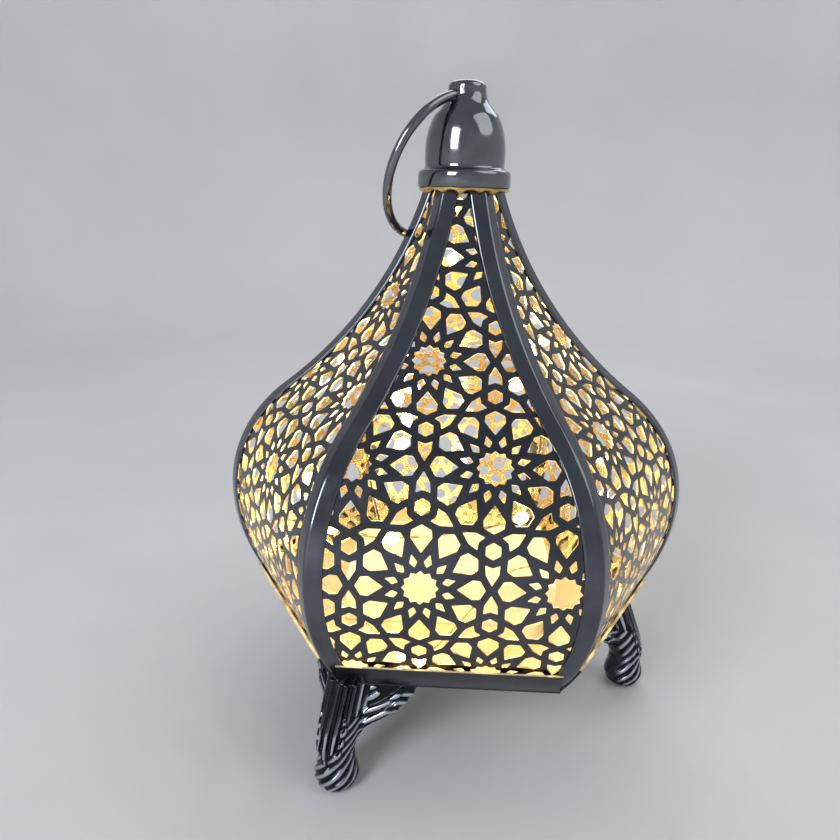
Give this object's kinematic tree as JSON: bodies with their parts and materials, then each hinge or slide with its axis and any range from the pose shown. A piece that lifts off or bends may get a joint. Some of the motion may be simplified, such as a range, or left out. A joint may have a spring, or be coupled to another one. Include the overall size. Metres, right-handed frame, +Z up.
{
  "type": "lantern",
  "caption": "Hexagonal ogee table lantern of pierced plated sheet metal, with bracket feet, a domed finial with a swinging ring, and a battery light string inside.",
  "frame": {"origin": "centre of the hexagon, on the plane that the three feet stand on", "axes": "+Z up along the lantern's axis, the front pierced face looks along -Y, one foot lies on +X"},
  "size_m": [0.1678, 0.1454, 0.22],
  "materials": {
    "pierced_sheet": "polished, slightly uneven",
    "plated_sheet": "polished",
    "plated_casting": "polished casting",
    "steel": "satin",
    "adhesive": "clear amber",
    "box_plastic": "fine grain",
    "cell_wrap": "smooth wrap",
    "contact_metal": "plated",
    "board": "lacquered",
    "knob_plastic": "moulded",
    "wire": "lacquered copper wire",
    "led": "clear resin drop"
  },
  "bodies": {
    "lantern": {"panel_front": "pierced_sheet", "panel_front_right": "pierced_sheet", "panel_rear_right": "pierced_sheet", "panel_rear": "pierced_sheet", "panel_rear_left": "pierced_sheet", "panel_front_left": "pierced_sheet", "rib_right": "plated_sheet", "rib_rear_right": "plated_sheet", "rib_rear_left": "plated_sheet", "rib_left": "plated_sheet", "rib_front_left": "plated_sheet", "rib_front_right": "plated_sheet", "base_tray": "plated_sheet", "foot_right": "plated_casting", "foot_rear_left": "plated_casting", "foot_front_left": "plated_casting", "foot_rivets": "steel", "neck_plate": "steel", "finial_cap": "plated_sheet", "adhesive_bead": "adhesive", "battery_box": "box_plastic", "battery_cells": "cell_wrap", "battery_springs": "steel", "battery_contacts": "contact_metal", "circuit_board": "board", "box_screws": "steel", "light_string": "wire", "led_beads": "led"},
    "ring": {"ring_handle": "plated_sheet"},
    "door": {"battery_door": "box_plastic"},
    "switch": {"switch_knob": "knob_plastic"}
  },
  "joints": [
    {"name": "ring_swing", "type": "hinge", "parent": "lantern", "child": "ring", "pos_m": [0, 0, 0.2158], "axis": [0.6018, 0.7986, 0], "range_deg": [0, 310]},
    {"name": "door_slide", "type": "slide", "parent": "lantern", "child": "door", "axis": [-1, 0, 0], "range_m": [0, 0.012]},
    {"name": "switch_slide", "type": "slide", "parent": "lantern", "child": "switch", "axis": [0, -1, 0], "range_m": [0, 0.003]}
  ]
}
